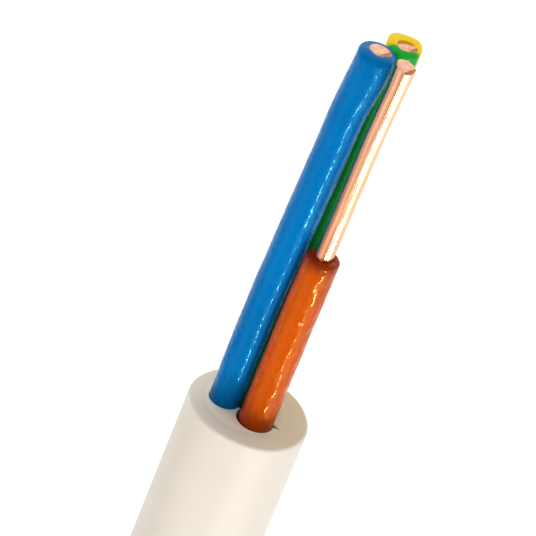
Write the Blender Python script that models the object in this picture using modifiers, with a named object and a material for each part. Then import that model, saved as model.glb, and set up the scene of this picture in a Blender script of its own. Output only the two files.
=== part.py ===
"""A ring of three-core round sheathed installation cable, lying flat, with one stripped end.

The wound turns are one solid with its bore. Four cable ties hold them. The outer end of the
cable leaves the ring, lies along the floor, and is stripped for connecting.
Metres, +Z up. The origin is at the floor, under the middle of the ring.
"""
import math

import bmesh
import bpy
from mathutils import Matrix, Vector

MM = 0.001

# Cable, drawn from its standard sizes: three cores of 1.5 square millimetres
CABLE_LENGTH = 10.0
SHEATH_DIAMETER = 9.8 * MM
FILLER_DIAMETER = 6.8 * MM
CORE_DIAMETER = 2.8 * MM
CONDUCTOR_DIAMETER = 1.42 * MM
CORE_GAP = 0.29 * MM
BUNDLE_SIDE_OFFSET = 0.27 * MM
BUNDLE_DROP = 0.35 * MM
LAY_CLEARANCE = 0.1 * MM

# Angles of the cores round the bundle, seen from the tip with the floor below
BLUE_ANGLE = math.radians(8)
BROWN_ANGLE = math.radians(128)
GREEN_YELLOW_ANGLE = math.radians(257)

# Stripped end, measured from the cut face of the sheath
BLUE_LENGTH = 34.1 * MM
GREEN_YELLOW_LENGTH = 34.2 * MM
BROWN_INSULATION_LENGTH = 16.3 * MM
BROWN_CONDUCTOR_LENGTH = 34.65 * MM
STRAIGHT_TIP = 2.0 * MM
BLUE_DRIFT = Vector((0.0, -0.65 * MM, 0.0))
BROWN_DRIFT = Vector((0.0, -0.25 * MM, 0.0))
GREEN_YELLOW_DRIFT = Vector((0.0, -0.33 * MM, -0.4 * MM))
CORE_DEPTH = 18.0 * MM

# Winding: turns in each layer from the bore outwards, nested in each other's grooves
LAYER_TURNS = (4, 3, 4, 3, 4)
TURN_GAP = 0.05 * MM
UNWOUND_SHARE = 0.19
STEP_WIDTH = math.radians(48)
STEP_END_GAP = math.radians(0.8)
SPREAD_SHARE = 0.04
SECTION_RAYS = 104
SECTION_STEP = math.radians(9)
STEP_SECTIONS = 16

# Free outer end: it leaves the ring on a wider curve and ends straight
TAIL_LENGTH = 0.17
TAIL_STRAIGHT_LENGTH = 0.022
TAIL_CURVE_RADIUS = 0.26
TAIL_SETTLE_LENGTH = 0.08
TAIL_POINT_SPACING = 2.0 * SHEATH_DIAMETER

# Cable ties
TIE_ANGLES = tuple(math.radians(45 + 90 * quarter) for quarter in range(4))
TIE_WIDTH = 4.8 * MM
TIE_THICKNESS = 1.2 * MM
TIE_HEAD_WIDTH = 7.8 * MM
TIE_HEAD_HEIGHT = 7.0 * MM
TIE_HEAD_DEPTH = 5.6 * MM
TIE_STUB_LENGTH = 2.0 * MM
TIE_HEAD_ROUNDING = 0.6 * MM
TIE_CORNER_STEPS = 4

SEAT_GAP = 0.3 * MM

# Sizes that follow from the ones above
SHEATH_RADIUS = SHEATH_DIAMETER / 2
CORE_RADIUS = CORE_DIAMETER / 2
CONDUCTOR_RADIUS = CONDUCTOR_DIAMETER / 2
FILLER_RADIUS = FILLER_DIAMETER / 2
BUNDLE_RADIUS = (CORE_DIAMETER + CORE_GAP) / math.sqrt(3)
TURN_PITCH = SHEATH_DIAMETER + TURN_GAP
LAYER_PITCH = TURN_PITCH * math.sqrt(3) / 2
RING_LIFT = TIE_THICKNESS + SEAT_GAP
TALLEST_LAYER = max(LAYER_TURNS)
MIDDLE_HEIGHT = RING_LIFT + SHEATH_RADIUS + (TALLEST_LAYER - 1) * TURN_PITCH / 2
TURNS = sum(LAYER_TURNS) - UNWOUND_SHARE
MEAN_RADIUS = (CABLE_LENGTH - TAIL_LENGTH) / (2 * math.pi * TURNS)
INNER_LAYER_RADIUS = MEAN_RADIUS - LAYER_PITCH * (len(LAYER_TURNS) - 1) / 2
OUTER_LAYER_RADIUS = MEAN_RADIUS + LAYER_PITCH * (len(LAYER_TURNS) - 1) / 2
TAIL_TURN = (TAIL_LENGTH - TAIL_STRAIGHT_LENGTH) / TAIL_CURVE_RADIUS
TAIL_LEAVE_ANGLE = 1.5 * math.pi - TAIL_TURN
RING_START_ANGLE = TAIL_LEAVE_ANGLE + 2 * math.pi * UNWOUND_SHARE
UNWOUND_START = 1.0 - UNWOUND_SHARE
STEP_SHARE = STEP_WIDTH / (2 * math.pi)
END_GAP_SHARE = STEP_END_GAP / (2 * math.pi)
STEP_END = 1.0 - END_GAP_SHARE
STEP_START = STEP_END - STEP_SHARE
CLOSEST_SPREAD = 2.0 / math.sqrt(3) - 1.0

PARTS = bpy.data.collections.new("sheathed_cable_ring")
CUTTERS = bpy.data.collections.new("cutters")


def clear_scene():
    for item in list(bpy.data.objects):
        bpy.data.objects.remove(item, do_unlink=True)
    bpy.context.scene.collection.children.link(PARTS)
    bpy.context.scene.collection.children.link(CUTTERS)


def plastic(name, colour, roughness, metallic=0.0):
    """A Principled material; bare copper is the only metallic one."""
    material = bpy.data.materials.new(name)
    material.use_nodes = True
    shader = material.node_tree.nodes["Principled BSDF"]
    shader.inputs["Base Color"].default_value = (*colour, 1.0)
    shader.inputs["Roughness"].default_value = roughness
    shader.inputs["Metallic"].default_value = metallic
    return material


def add_object(name, data, material, collection=PARTS):
    item = bpy.data.objects.new(name, data)
    if material:
        data.materials.append(material)
    collection.objects.link(item)
    return item


def hide_as_cutter(item):
    item.hide_render = True
    item.display_type = "WIRE"


def smooth(item, angle=math.radians(40)):
    item.data.shade_smooth()
    item.data.set_sharp_from_angle(angle=angle)


def cut(target, cutter, operation="DIFFERENCE"):
    modifier = target.modifiers.new(cutter.name, "BOOLEAN")
    modifier.operation = operation
    modifier.object = cutter
    modifier.solver = "EXACT"


def eased(share):
    share = min(max(share, 0.0), 1.0)
    return share * share * (3.0 - 2.0 * share)


def layer_height(turns, row):
    """Height of one turn's centre: a layer of fewer turns lies half a pitch further in."""
    lowest = RING_LIFT + SHEATH_RADIUS + (TALLEST_LAYER - turns) * TURN_PITCH / 2
    return lowest + row * TURN_PITCH


def turn_places():
    """Radius and height of each turn in the order of winding: one layer down, the next one up."""
    places = []
    for layer, turns in enumerate(LAYER_TURNS):
        radius = INNER_LAYER_RADIUS + layer * LAYER_PITCH
        rows = range(turns) if layer % 2 else reversed(range(turns))
        places += [Vector((radius, layer_height(turns, row))) for row in rows]
    return places


def strands_at(share):
    """Radius and height of every strand, at this share of a turn from the cable's inner end.

    The turns lie flat up to the step, where each moves over to the next one's place. Strands that
    cross don't nest, so the layers spread apart there. The last place is empty once the tail has left.
    """
    places = turn_places()
    strands = places if share < UNWOUND_START + END_GAP_SHARE / 2 else places[:-1]
    moved = eased((share - STEP_START) / STEP_SHARE)
    rise = eased((share - STEP_START + SPREAD_SHARE) / (2 * SPREAD_SHARE))
    fall = eased((1.0 - share) / SPREAD_SHARE)
    crossing = []
    for place, following in zip(strands, places[1:] + places[-1:]):
        strand = place.lerp(following, moved)
        spread = (strand.x - INNER_LAYER_RADIUS) * CLOSEST_SPREAD * rise * fall
        crossing.append(strand + Vector((spread, 0.0)))
    return crossing


def section_outline(share):
    """The outer edge of all strands, met by rays from the middle of the section."""
    middle = Vector((MEAN_RADIUS, MIDDLE_HEIGHT))
    strands = [strand - middle for strand in strands_at(share)]
    outline = []
    for ray in range(SECTION_RAYS):
        angle = 2 * math.pi * ray / SECTION_RAYS
        direction = Vector((math.cos(angle), math.sin(angle)))
        reach = 0.0
        for strand in strands:
            aside = strand.x * direction.y - strand.y * direction.x
            if abs(aside) < SHEATH_RADIUS:
                reach = max(reach, strand.dot(direction) + math.sqrt(SHEATH_RADIUS ** 2 - aside ** 2))
        outline.append(middle + reach * direction)
    return outline


def section_shares():
    """Shares of a turn where the ring's section is taken: close together where the turns step."""
    flat = math.ceil(UNWOUND_START * 2 * math.pi / SECTION_STEP)
    shares = [UNWOUND_START * step / flat for step in range(flat + 1)]
    shares.append(UNWOUND_START + END_GAP_SHARE)
    shares.append((shares[-1] + STEP_START) / 2)
    shares += [STEP_START + STEP_SHARE * step / STEP_SECTIONS for step in range(STEP_SECTIONS + 1)]
    return shares


def make_wound_turns(material):
    """The ring as one solid: a loft of unlike sections, because the turns step in one place."""
    work = bmesh.new()
    loops = []
    for share in section_shares():
        angle = RING_START_ANGLE + 2 * math.pi * share
        outwards = Vector((math.cos(angle), math.sin(angle), 0.0))
        points = [point.x * outwards + Vector((0.0, 0.0, point.y)) for point in section_outline(share)]
        loops.append([work.verts.new(point) for point in points])
    for loop, following in zip(loops, loops[1:] + loops[:1]):
        for ray in range(SECTION_RAYS):
            beside = (ray + 1) % SECTION_RAYS
            work.faces.new((loop[ray], following[ray], following[beside], loop[beside]))
    bmesh.ops.recalc_face_normals(work, faces=work.faces)
    mesh = bpy.data.meshes.new("wound_turns")
    work.to_mesh(mesh)
    work.free()
    ring = add_object("wound_turns", mesh, material)
    smooth(ring)
    way_out = tube_object("tail_clearance", tail_path(TAIL_TURN), SHEATH_RADIUS + SEAT_GAP, 4)
    clearance = as_mesh_object(way_out, None, CUTTERS)
    hide_as_cutter(clearance)
    cut(ring, clearance)


def rounded_rectangle(half_width, half_height, radius):
    """Points of a rounded rectangle about the origin, counter-clockwise."""
    points = []
    for quarter in range(4):
        corner_x = half_width if quarter in (0, 3) else -half_width
        corner_y = half_height if quarter in (0, 1) else -half_height
        for step in range(TIE_CORNER_STEPS + 1):
            angle = math.pi / 2 * (quarter + step / TIE_CORNER_STEPS)
            points.append((corner_x + radius * math.cos(angle), corner_y + radius * math.sin(angle)))
    return points


def mesh_from_curve(curve_object, name):
    """The curve's evaluated mesh, with its loose caps welded on."""
    graph = bpy.context.evaluated_depsgraph_get()
    mesh = bpy.data.meshes.new_from_object(curve_object.evaluated_get(graph))
    mesh.name = name
    work = bmesh.new()
    work.from_mesh(mesh)
    bmesh.ops.remove_doubles(work, verts=work.verts, dist=0.000001)
    work.to_mesh(mesh)
    work.free()
    return mesh


def band_mesh(name):
    """The closed band of a tie: two outlines, filled, as thick as the tie is wide."""
    half_width = (OUTER_LAYER_RADIUS - INNER_LAYER_RADIUS) / 2
    half_height = (TALLEST_LAYER - 1) * TURN_PITCH / 2
    curve = bpy.data.curves.new(name, "CURVE")
    curve.dimensions = "2D"
    curve.fill_mode = "BOTH"
    curve.extrude = TIE_WIDTH / 2
    for radius in (SHEATH_RADIUS + SEAT_GAP, SHEATH_RADIUS + SEAT_GAP + TIE_THICKNESS):
        points = rounded_rectangle(half_width, half_height, radius)
        spline = curve.splines.new("POLY")
        spline.points.add(len(points) - 1)
        for point, place in zip(spline.points, points):
            point.co = (*place, 0.0, 1.0)
        spline.use_cyclic_u = True
    outline = bpy.data.objects.new(name, curve)
    CUTTERS.objects.link(outline)
    mesh = mesh_from_curve(outline, name)
    bpy.data.objects.remove(outline, do_unlink=True)
    bpy.data.curves.remove(curve)
    upright = Matrix.Rotation(math.pi / 2, 4, "X")
    middle = Matrix.Translation((MEAN_RADIUS, 0.0, MIDDLE_HEIGHT))
    mesh.transform(middle @ upright)
    return mesh


def box_mesh(name, size, centre):
    mesh = bpy.data.meshes.new(name)
    work = bmesh.new()
    place = Matrix.Translation(centre) @ Matrix.Diagonal((*size, 1.0))
    bmesh.ops.create_cube(work, size=1.0, matrix=place)
    work.to_mesh(mesh)
    work.free()
    return mesh


def make_tie_shapes():
    """The band, the head and the cut-off stub, each built once at the +X side of the ring."""
    band_inner = OUTER_LAYER_RADIUS + SHEATH_RADIUS + SEAT_GAP
    head_size = (TIE_HEAD_DEPTH, TIE_HEAD_WIDTH, TIE_HEAD_HEIGHT)
    head_x = band_inner + TIE_HEAD_DEPTH / 2
    stub_depth = TIE_HEAD_DEPTH / 2 + TIE_STUB_LENGTH
    stub_size = (stub_depth, TIE_WIDTH - 2 * LAY_CLEARANCE, TIE_THICKNESS)
    stub_x = band_inner + TIE_HEAD_DEPTH + TIE_STUB_LENGTH - stub_depth / 2
    band = band_mesh("tie_band")
    head = box_mesh("tie_head", head_size, (head_x, 0.0, MIDDLE_HEIGHT))
    stub = box_mesh("tie_stub", stub_size, (stub_x, 0.0, MIDDLE_HEIGHT))
    return band, head, stub


def make_cable_ties(material):
    band, head, stub = make_tie_shapes()
    for number, angle in enumerate(TIE_ANGLES, start=1):
        tie = add_object(f"cable_tie_{number}", band.copy(), material)
        tie.rotation_euler.z = angle
        for part, rounding in ((head, TIE_HEAD_ROUNDING), (stub, None)):
            piece = add_object(f"{part.name}_{number}", part.copy(), None, CUTTERS)
            piece.rotation_euler.z = angle
            if rounding:
                bevel = piece.modifiers.new("rounded", "BEVEL")
                bevel.width = min(rounding, TIE_HEAD_DEPTH / 4)
                bevel.segments = 2
            hide_as_cutter(piece)
            cut(tie, piece, "UNION")


def face_centre():
    """Centre of the sheath's cut face: the tail ends there, pointing along +X."""
    leave = -math.pi / 2 - TAIL_TURN
    arc_x = (OUTER_LAYER_RADIUS - TAIL_CURVE_RADIUS) * math.cos(leave)
    arc_y = (OUTER_LAYER_RADIUS - TAIL_CURVE_RADIUS) * math.sin(leave)
    return Vector((arc_x + TAIL_STRAIGHT_LENGTH, arc_y - TAIL_CURVE_RADIUS, SHEATH_RADIUS))


def tail_point(turn_back):
    """A point of the tail's curve, by its turn back from the straight end."""
    face = face_centre()
    run = (TAIL_TURN - turn_back) * TAIL_CURVE_RADIUS
    height = SHEATH_RADIUS + RING_LIFT * (1.0 - eased(run / TAIL_SETTLE_LENGTH))
    x = face.x - TAIL_STRAIGHT_LENGTH - TAIL_CURVE_RADIUS * math.sin(turn_back)
    y = face.y + TAIL_CURVE_RADIUS * (1.0 - math.cos(turn_back))
    return Vector((x, y, height))


def tail_path(first_turn):
    """Points along the tail, from this turn back to the cut face."""
    spans = math.ceil(first_turn * TAIL_CURVE_RADIUS / TAIL_POINT_SPACING)
    points = [tail_point(first_turn * (1 - step / spans)) for step in range(spans + 1)]
    points.append(face_centre())
    return points


def tube_object(name, points, radius, resolution, capped=True):
    curve = bpy.data.curves.new(name, "CURVE")
    curve.dimensions = "3D"
    curve.bevel_depth = radius
    curve.bevel_resolution = resolution
    curve.use_fill_caps = capped
    spline = curve.splines.new("POLY")
    spline.points.add(len(points) - 1)
    for point, place in zip(spline.points, points):
        point.co = (*place, 1.0)
    return add_object(name, curve, None)


def as_mesh_object(tube, material, collection=PARTS):
    """The tube as a mesh object, so that it can be cut or hollowed."""
    name = tube.name
    mesh = mesh_from_curve(tube, name)
    place = tube.matrix_world.copy()
    bpy.data.objects.remove(tube, do_unlink=True)
    mesh.materials.clear()
    item = add_object(name, mesh, material, collection)
    item.matrix_world = place
    return item


def rod_cutter(name, start, length, radius, sides):
    """A cylinder along +X, for a bore."""
    mesh = bpy.data.meshes.new(name)
    work = bmesh.new()
    bmesh.ops.create_cone(work, cap_ends=True, segments=sides, radius1=radius, radius2=radius, depth=length)
    work.to_mesh(mesh)
    work.free()
    rod = add_object(name, mesh, None, CUTTERS)
    rod.rotation_euler.y = math.pi / 2
    rod.location = start + Vector((length / 2, 0.0, 0.0))
    hide_as_cutter(rod)
    return rod


def bundle_centre():
    return face_centre() + Vector((0.0, BUNDLE_SIDE_OFFSET, -BUNDLE_DROP))


def core_base(angle):
    """Centre of a core at the cut face; angles run from the +Y side up over the bundle to -Y."""
    return bundle_centre() + BUNDLE_RADIUS * Vector((0.0, math.cos(angle), math.sin(angle)))


def make_tail_sheath(material):
    """The sheath of the free end: it goes on where the last turn ends, and holds the filler."""
    points = tail_path(TAIL_TURN - SEAT_GAP / TAIL_CURVE_RADIUS)
    sheath = as_mesh_object(tube_object("tail_sheath", points, SHEATH_RADIUS, 4), material)
    start = bundle_centre() - Vector((CORE_DEPTH + LAY_CLEARANCE, 0.0, 0.0))
    pocket = rod_cutter("sheath_pocket", start, CORE_DEPTH + SHEATH_RADIUS, FILLER_RADIUS + LAY_CLEARANCE, 24)
    cut(sheath, pocket)
    smooth(sheath)


def make_inner_filler(material):
    """The soft filling compound round the cores, flush with the sheath's cut face."""
    start = bundle_centre() - Vector((CORE_DEPTH, 0.0, 0.0))
    filler = rod_cutter("inner_filler", start, CORE_DEPTH, FILLER_RADIUS, 24)
    CUTTERS.objects.unlink(filler)
    PARTS.objects.link(filler)
    filler.hide_render = False
    filler.display_type = "TEXTURED"
    filler.data.materials.append(material)
    for name, angle in (("blue", BLUE_ANGLE), ("brown", BROWN_ANGLE), ("green_yellow", GREEN_YELLOW_ANGLE)):
        mouth = core_base(angle) - Vector((CORE_DEPTH + SHEATH_RADIUS, 0.0, 0.0))
        bore = rod_cutter(f"{name}_bore", mouth, CORE_DEPTH + SHEATH_DIAMETER, CORE_RADIUS + LAY_CLEARANCE, 16)
        cut(filler, bore)
    smooth(filler)


def core_points(angle, length, reach, drift):
    """Centreline of a core: straight in the sheath, drifting aside along its free length."""
    base = core_base(angle)
    bend_end = reach - STRAIGHT_TIP
    stations = [-CORE_DEPTH, 0.0] + [bend_end * step / 5 for step in range(1, 6)] + [reach]
    stations = [station for station in stations if station < length] + [length]
    return [base + Vector((s, 0.0, 0.0)) + drift * eased(s / bend_end) for s in stations]


def make_core(name, angle, insulation_length, conductor_length, drift, insulation, copper):
    reach = max(insulation_length, conductor_length)
    covered = core_points(angle, insulation_length, reach, drift)
    tube = tube_object(f"{name}_insulation", covered, CORE_RADIUS, 4, capped=False)
    tube = as_mesh_object(tube, insulation)
    wall = tube.modifiers.new("wall", "SOLIDIFY")
    wall.thickness = CORE_RADIUS - CONDUCTOR_RADIUS - LAY_CLEARANCE
    wall.offset = -1.0
    smooth(tube)
    bare = core_points(angle, conductor_length, reach, drift)
    wire = as_mesh_object(tube_object(f"{name}_conductor", bare, CONDUCTOR_RADIUS, 2), copper)
    smooth(wire)


def centre_on_origin():
    """Move everything so that the middle of the ring's outline lies over the origin.

    The ring bulges where its turns step, so that middle is a little off the ring's axis.
    """
    places = [vertex.co for vertex in PARTS.objects["wound_turns"].data.vertices]
    middle = Vector((0.0, 0.0, 0.0))
    for axis in (0, 1):
        values = [place[axis] for place in places]
        middle[axis] = (min(values) + max(values)) / 2
    for item in [*PARTS.objects, *CUTTERS.objects]:
        item.location -= middle


def make_cable_ring():
    clear_scene()
    sheath = plastic("cream_sheath", (0.82, 0.77, 0.70), 0.5)
    filler = plastic("pale_filler", (0.68, 0.66, 0.62), 0.8)
    blue = plastic("blue_insulation", (0.0, 0.19, 0.55), 0.3)
    brown = plastic("brown_insulation", (0.58, 0.09, 0.01), 0.3)
    green_yellow = plastic("green_yellow_insulation", (0.02, 0.25, 0.05), 0.3)
    copper = plastic("bare_copper", (0.86, 0.43, 0.25), 0.25, 1.0)
    nylon = plastic("black_nylon", (0.02, 0.02, 0.02), 0.45)
    make_wound_turns(sheath)
    make_cable_ties(nylon)
    make_tail_sheath(sheath)
    make_inner_filler(filler)
    make_core("blue", BLUE_ANGLE, BLUE_LENGTH, BLUE_LENGTH, BLUE_DRIFT, blue, copper)
    make_core("brown", BROWN_ANGLE, BROWN_INSULATION_LENGTH, BROWN_CONDUCTOR_LENGTH, BROWN_DRIFT, brown, copper)
    make_core("green_yellow", GREEN_YELLOW_ANGLE, GREEN_YELLOW_LENGTH, GREEN_YELLOW_LENGTH,
              GREEN_YELLOW_DRIFT, green_yellow, copper)
    centre_on_origin()


make_cable_ring()
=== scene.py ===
# %% [markdown]
# # A ring of three-core sheathed cable
# The solid model fixes every size and place. This lesson gives it its finish: the wound turns, the
# free end with its cut face, the three coloured cores and their copper, and the ties.
# All lengths are in metres, so MM turns the millimetres that a cable maker works in into metres.

# %% Load the solid model
import math
import bmesh
import bpy
from mathutils import Matrix, Vector, noise


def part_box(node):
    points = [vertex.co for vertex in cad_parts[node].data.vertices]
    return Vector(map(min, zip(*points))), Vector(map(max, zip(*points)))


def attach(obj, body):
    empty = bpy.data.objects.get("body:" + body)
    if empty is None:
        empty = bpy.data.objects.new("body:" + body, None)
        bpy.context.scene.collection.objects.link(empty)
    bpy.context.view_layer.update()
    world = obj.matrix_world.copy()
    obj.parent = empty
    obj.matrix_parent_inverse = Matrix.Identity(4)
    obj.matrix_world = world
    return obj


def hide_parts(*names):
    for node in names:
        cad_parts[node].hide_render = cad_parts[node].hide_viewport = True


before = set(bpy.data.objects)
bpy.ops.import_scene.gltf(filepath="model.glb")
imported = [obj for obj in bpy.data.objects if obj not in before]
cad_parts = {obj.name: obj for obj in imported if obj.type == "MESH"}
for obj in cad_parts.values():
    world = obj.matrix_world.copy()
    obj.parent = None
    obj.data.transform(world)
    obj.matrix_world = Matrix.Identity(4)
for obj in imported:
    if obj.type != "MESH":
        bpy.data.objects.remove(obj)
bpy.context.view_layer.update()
MM = 0.001

# %% [markdown]
# ## Sizes that the lesson shares
# The cable is 9.8 mm over its sheath and its cores are 2.8 mm. The cores lie in a triangle that sits
# a little off the middle of the sheath, as it does in most cable. The solid model gives the places
# where each core ends, so those are read from it and not written down again.

# %% Cable sizes and the places read from the solid model
SHEATH_RADIUS = 4.9 * MM
FILLER_RADIUS = 3.4 * MM
CORE_RADIUS = 1.4 * MM
CONDUCTOR_RADIUS = 0.735 * MM
CORE_SPACING = 3.09 * MM
BUNDLE_SIDE_OFFSET = 0.27 * MM
BUNDLE_RADIUS = CORE_SPACING / math.sqrt(3)
ALONG = Vector((1.0, 0.0, 0.0))
SIDE = Vector((0.0, 1.0, 0.0))
UP = Vector((0.0, 0.0, 1.0))

filler_low, filler_high = (Vector(corner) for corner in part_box("inner_filler"))
bundle = Vector((filler_high.x, (filler_low.y + filler_high.y) / 2, (filler_low.z + filler_high.z) / 2))
face = Vector((bundle.x, bundle.y - BUNDLE_SIDE_OFFSET, SHEATH_RADIUS))
tip_of = {name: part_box(name)[1][0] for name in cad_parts}
print("cut face of the sheath, mm:", [round(value / MM, 2) for value in face])

# %% [markdown]
# ## The camera
# The photograph looks at the stripped end through a long lens, from beyond the tips. The cable makes
# 54.6 degrees with the line of sight, so its round end shows as a narrow ellipse, and it leans 22
# degrees to the right of upright in the picture. The cable lies on the floor here, so the camera
# looks down on it and is rolled to give the same picture.

# %% Camera placed from the line of sight
CAMERA_DISTANCE = 0.365
CAMERA_ELEVATION = math.radians(56.21)
CAMERA_SIDE_TURN = math.radians(-0.82)
LEAN_IN_PICTURE = math.radians(21.95)
LENS_MM = 316.7
FACE_RIGHT_OF_MIDDLE = -1.485 * MM
FACE_ABOVE_MIDDLE = -10.93 * MM

flat = math.cos(CAMERA_ELEVATION)
backward = Vector((flat * math.cos(CAMERA_SIDE_TURN), flat * math.sin(CAMERA_SIDE_TURN),
                   math.sin(CAMERA_ELEVATION)))
cable_up = (ALONG - ALONG.dot(backward) * backward).normalized()
picture_up = (Matrix.Rotation(LEAN_IN_PICTURE, 3, backward) @ cable_up).normalized()
picture_right = picture_up.cross(backward).normalized()
turn = Matrix((picture_right, picture_up, backward)).transposed()
from_middle = FACE_RIGHT_OF_MIDDLE * picture_right + FACE_ABOVE_MIDDLE * picture_up
camera_data = bpy.data.cameras.new("macro_lens")
camera_data.lens = LENS_MM
camera_data.clip_start = 0.01
camera = bpy.data.objects.new("macro_camera", camera_data)
camera.matrix_world = Matrix.Translation(face - from_middle + CAMERA_DISTANCE * backward) @ turn.to_4x4()
bpy.context.scene.collection.objects.link(camera)
bpy.context.scene.camera = camera
print("camera at, mm:", [round(value / MM) for value in camera.location])

# %% [markdown]
# ## Helpers
# One function reads a colour as it is written for the screen and makes it linear, and one adds a
# node with its settings and links. Every node tree below is made with these two and a few that call
# them. The last two turn a finished bmesh into a mesh and a mesh into a piece.

# %% Colour, node and mesh helpers
def linear(code):
    """An sRGB hex colour as the linear RGBA that shaders work in."""
    channels = [int(code[start:start + 2], 16) / 255 for start in (1, 3, 5)]
    return [c / 12.92 if c <= 0.04045 else ((c + 0.055) / 1.055) ** 2.4 for c in channels] + [1.0]


def add_node(tree, kind, settings=None, **inputs):
    """A node of the given kind: settings are its properties, and inputs are values or sockets."""
    node = tree.nodes.new(kind)
    for name, value in (settings or {}).items():
        setattr(node, name, value)
    for name, value in inputs.items():
        key = int(name[1:]) if name[0] == "_" else name.replace("_", " ")
        socket = node.inputs[key]
        if isinstance(value, bpy.types.NodeSocket):
            tree.links.new(value, socket)
        else:
            socket.default_value = value
    return node


def maths(tree, operation, first, second=0.0, third=0.0):
    node = add_node(tree, "ShaderNodeMath", {"operation": operation}, _0=first, _1=second, _2=third)
    return node.outputs[0]


def parts_of(tree, vector):
    return add_node(tree, "ShaderNodeSeparateXYZ", Vector=vector).outputs


def joined(tree, x, y, z):
    return add_node(tree, "ShaderNodeCombineXYZ", X=x, Y=y, Z=z).outputs[0]


def new_finish(name, roughness, metallic=0.0, specular=0.5):
    """A new material, its node tree and its Principled shader."""
    finish = bpy.data.materials.new(name)
    finish.use_nodes = True
    shader = finish.node_tree.nodes["Principled BSDF"]
    shader.inputs["Roughness"].default_value = roughness
    shader.inputs["Metallic"].default_value = metallic
    shader.inputs["Specular IOR Level"].default_value = specular
    return finish, finish.node_tree, shader


def blend_colours(tree, share, first, second):
    """A mix of two colours, each a hex code or a socket."""
    mix = add_node(tree, "ShaderNodeMix", {"data_type": "RGBA"}, Factor=share)
    for index, colour in ((6, first), (7, second)):
        if isinstance(colour, str):
            mix.inputs[index].default_value = linear(colour)
        else:
            tree.links.new(colour, mix.inputs[index])
    return mix.outputs[2]


def steps(tree, value, low, high, to_low=0.0, to_high=1.0):
    """A smooth step of a value from one level to another."""
    node = add_node(tree, "ShaderNodeMapRange", {"interpolation_type": "SMOOTHSTEP"}, Value=value,
                    From_Min=low, From_Max=high, To_Min=to_low, To_Max=to_high)
    return node.outputs["Result"]


def mottle(tree, tone, light, dark, low=0.3, high=0.7):
    """Two colours in soft patches, as the tone goes from low to high."""
    return blend_colours(tree, steps(tree, tone, low, high), light, dark)


def paint(tree, shader, colour):
    tree.links.new(colour, shader.inputs["Base Color"])


def object_place(tree):
    return add_node(tree, "ShaderNodeTexCoord").outputs["Object"]


def laid_place(tree):
    """The place on the cable as if it lay straight, in metres: across, up and along."""
    return add_node(tree, "ShaderNodeAttribute", {"attribute_name": "laid"}).outputs["Vector"]


def cable_place(tree, along=1.0):
    """The same place, with what runs along the cable shrunk, so that noise is drawn out that way."""
    mapping = add_node(tree, "ShaderNodeMapping", Vector=laid_place(tree), Scale=(1.0, 1.0, along))
    return mapping.outputs["Vector"]


def grain(tree, place, size, detail=2.0, roughness=0.5):
    """Noise whose features are about this size, in metres."""
    node = add_node(tree, "ShaderNodeTexNoise", Vector=place, Scale=1.0 / size, Detail=detail,
                    Roughness=roughness)
    return node.outputs["Fac"]


def bump(tree, shader, height, depth, strength=1.0, normal=None):
    """Relief of this depth in metres, on top of an earlier one if given."""
    node = add_node(tree, "ShaderNodeBump", Height=height, Distance=depth, Strength=strength)
    if normal is not None:
        tree.links.new(normal, node.inputs["Normal"])
    tree.links.new(node.outputs["Normal"], shader.inputs["Normal"])
    return node.outputs["Normal"]


def per_core(blue, brown, green_yellow):
    """One value for each of the three cores, by its name."""
    return {"blue": blue, "brown": brown, "green_yellow": green_yellow}


def mesh_from(work, name):
    """The bmesh as a new mesh; the bmesh is freed."""
    mesh = bpy.data.meshes.new(name)
    work.to_mesh(mesh)
    work.free()
    return mesh


def add_piece(name, mesh, finishes=()):
    piece = bpy.data.objects.new(name, mesh)
    for finish in finishes:
        mesh.materials.append(finish)
    bpy.context.scene.collection.objects.link(piece)
    return piece

# %% [markdown]
# ## The sheath's finish: soft PVC
# Sheathing PVC comes warm and cream-white out of the die, with a dull, faintly waxy skin. Fine lines
# run along it from the die, and the skin between them has a slight orange peel. The die lines are
# noise drawn out fifty times along the cable, 0.25 mm apart round it. The PVC is filled with chalk,
# so it mirrors less than the cores' glossy skin.

# %% Cream sheath
DIE_LINE = 0.25 * MM
PEEL = 0.6 * MM


def make_sheath_pvc():
    finish, tree, shader = new_finish("cream_pvc", 0.47, specular=0.25)
    straight = cable_place(tree)
    paint(tree, shader, mottle(tree, grain(tree, straight, 14 * MM, 3.0), "#E0D8CD", "#DBD2C4", 0.35))
    lines = grain(tree, cable_place(tree, 0.02), DIE_LINE)
    peel = grain(tree, straight, PEEL)
    first = bump(tree, shader, lines, 0.004 * MM, 0.6)
    bump(tree, shader, peel, 0.012 * MM, 0.5, first)
    rough = steps(tree, grain(tree, straight, 5 * MM), 0.3, 0.7, 0.42, 0.52)
    tree.links.new(rough, shader.inputs["Roughness"])
    return finish


cream_pvc = make_sheath_pvc()

# %% [markdown]
# ## Cut PVC and filling compound
# A knife leaves the sheath's end flat and dull, a little darker and greyer than the skin. The
# filling compound inside is chalk in soft rubber, so it cuts rough and looks pale and powdery.

# %% Cut faces
# Painted warm bounce light: the cut faces are tinted warmer towards -Y, the right of the picture
WARM_BOUNCE_TINT = "#E8DCCB"


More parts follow.
